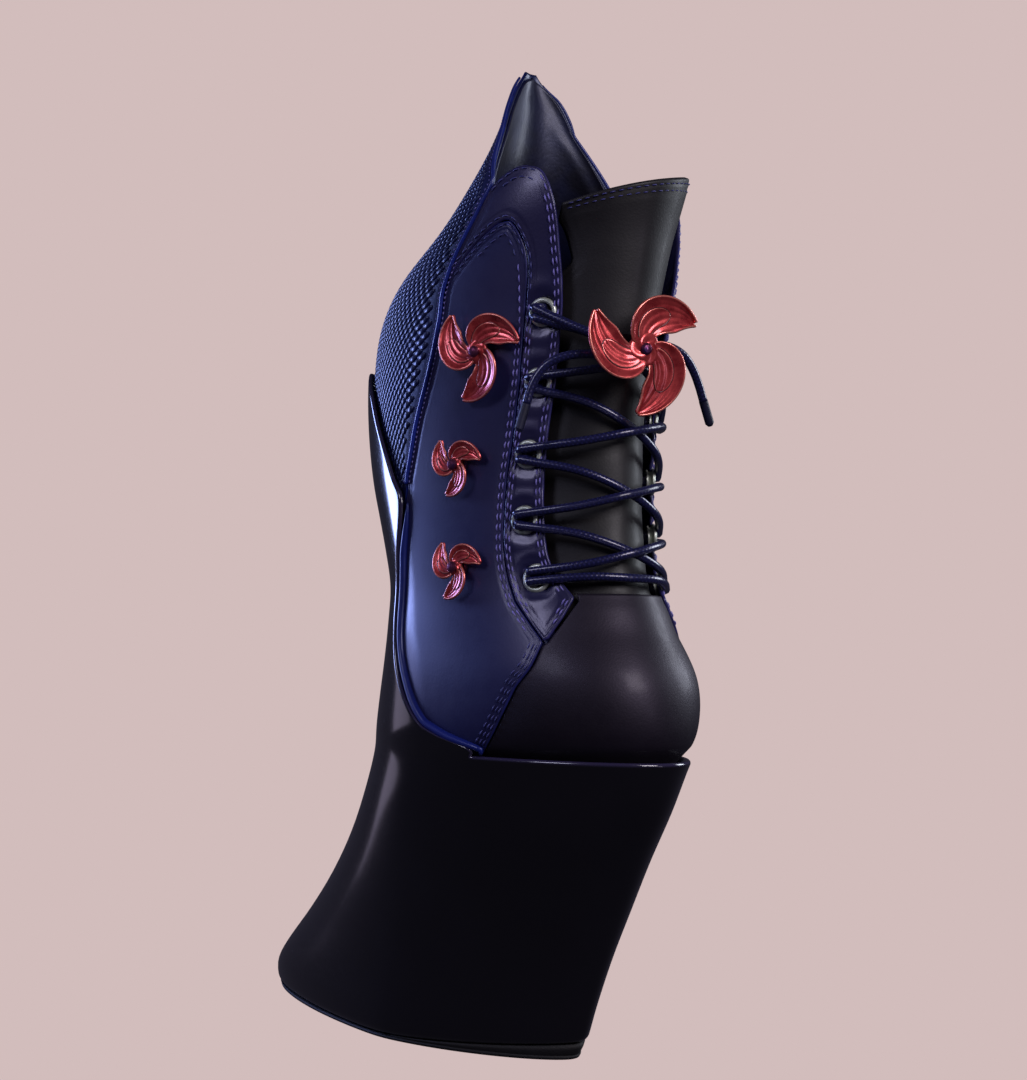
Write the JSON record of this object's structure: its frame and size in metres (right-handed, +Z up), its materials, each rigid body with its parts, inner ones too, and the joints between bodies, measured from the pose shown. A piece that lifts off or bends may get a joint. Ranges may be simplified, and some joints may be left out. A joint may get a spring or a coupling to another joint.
{
  "type": "heelless platform ankle boot",
  "caption": "Lace-up ankle boot on a tall forward-curving platform without a heel, with a pointed back collar and free-spinning red rotors.",
  "frame": {"origin": "on the ground under the middle of the boot's width, below the shaft", "axes": "+X towards the toe, -Y the outer (lateral) side of a right boot, +Z up"},
  "size_m": [0.2706, 0.0999, 0.412],
  "materials": {
    "platform_gloss": "glossy moulded black with a violet cast",
    "core_foam": "rigid foam core, hidden",
    "tread_rubber": "matt black tread",
    "shank_steel": "spring steel, hidden",
    "board": "pressed fibre board, hidden",
    "sock_leather": "soft matt black",
    "black_leather": "soft matt black nappa",
    "navy_leather": "glossy navy with a blue sheen",
    "embossed_leather": "navy, embossed with small scales",
    "lining_leather": "smooth blue-grey lining",
    "blue_piping": "glossy royal blue edge roll",
    "lace_cord": "waxed round cord, dark violet navy",
    "aglet_film": "shrunk dark film",
    "lock_metal": "black enamelled die casting",
    "eyelet_metal": "bright silver white",
    "red_enamel": "metallic red enamel",
    "pin_steel": "polished"
  },
  "bodies": {
    "boot": {"platform_shell": "platform_gloss", "platform_core": "core_foam", "outsole": "tread_rubber", "sole_wedge": "tread_rubber", "shank": "shank_steel", "insole_board": "board", "sock_liner": "sock_leather", "toe_puff": "board", "heel_counter": "board", "vamp": "black_leather", "vamp_lining": "lining_leather", "quarter_lateral": "navy_leather", "quarter_medial": "navy_leather", "eyestay_lateral": "navy_leather", "eyestay_medial": "navy_leather", "back_panel": "embossed_leather", "shaft_lining": "lining_leather", "piping_lateral": "blue_piping", "piping_medial": "blue_piping", "tongue_body": "black_leather", "eyelets_lateral": "eyelet_metal", "eyelets_medial": "eyelet_metal", "eyelet_washers": "eyelet_metal", "lace_crossed": "lace_cord", "lace_end_left": "lace_cord", "lace_end_right": "lace_cord", "aglet_left": "aglet_film", "aglet_right": "aglet_film", "lace_lock": "lock_metal", "pin_upper": "pin_steel", "pin_middle": "pin_steel", "pin_lower": "pin_steel", "pin_lace": "pin_steel", "washer_upper": "pin_steel", "washer_middle": "pin_steel", "washer_lower": "pin_steel", "washer_lace": "pin_steel"},
    "rotor_upper": {"rotor_upper": "red_enamel"},
    "rotor_middle": {"rotor_middle": "red_enamel"},
    "rotor_lower": {"rotor_lower": "red_enamel"},
    "rotor_lace": {"rotor_lace": "red_enamel"},
    "tongue_flap": {"tongue_flap": "black_leather"}
  },
  "joints": [
    {"name": "rotor_upper_spin", "type": "hinge", "parent": "boot", "child": "rotor_upper", "pos_m": [0.0721, -0.0405, 0.281], "axis": [0.241, -0.9666, -0.0872], "continuous": true},
    {"name": "rotor_middle_spin", "type": "hinge", "parent": "boot", "child": "rotor_middle", "pos_m": [0.0582, -0.0403, 0.237], "axis": [0.1735, -0.9842, -0.0349], "continuous": true},
    {"name": "rotor_lower_spin", "type": "hinge", "parent": "boot", "child": "rotor_lower", "pos_m": [0.0588, -0.0406, 0.195], "axis": [0.1561, -0.9853, 0.0698], "continuous": true},
    {"name": "rotor_lace_spin", "type": "hinge", "parent": "boot", "child": "rotor_lace", "pos_m": [0.1205, -0.0085, 0.2785], "axis": [0.9305, -0.3387, -0.1392], "continuous": true},
    {"name": "tongue_fold", "type": "hinge", "parent": "boot", "child": "tongue_flap", "pos_m": [0.124, 0, 0.312], "axis": [0, 1, 0], "range_deg": [-5, 25]}
  ]
}
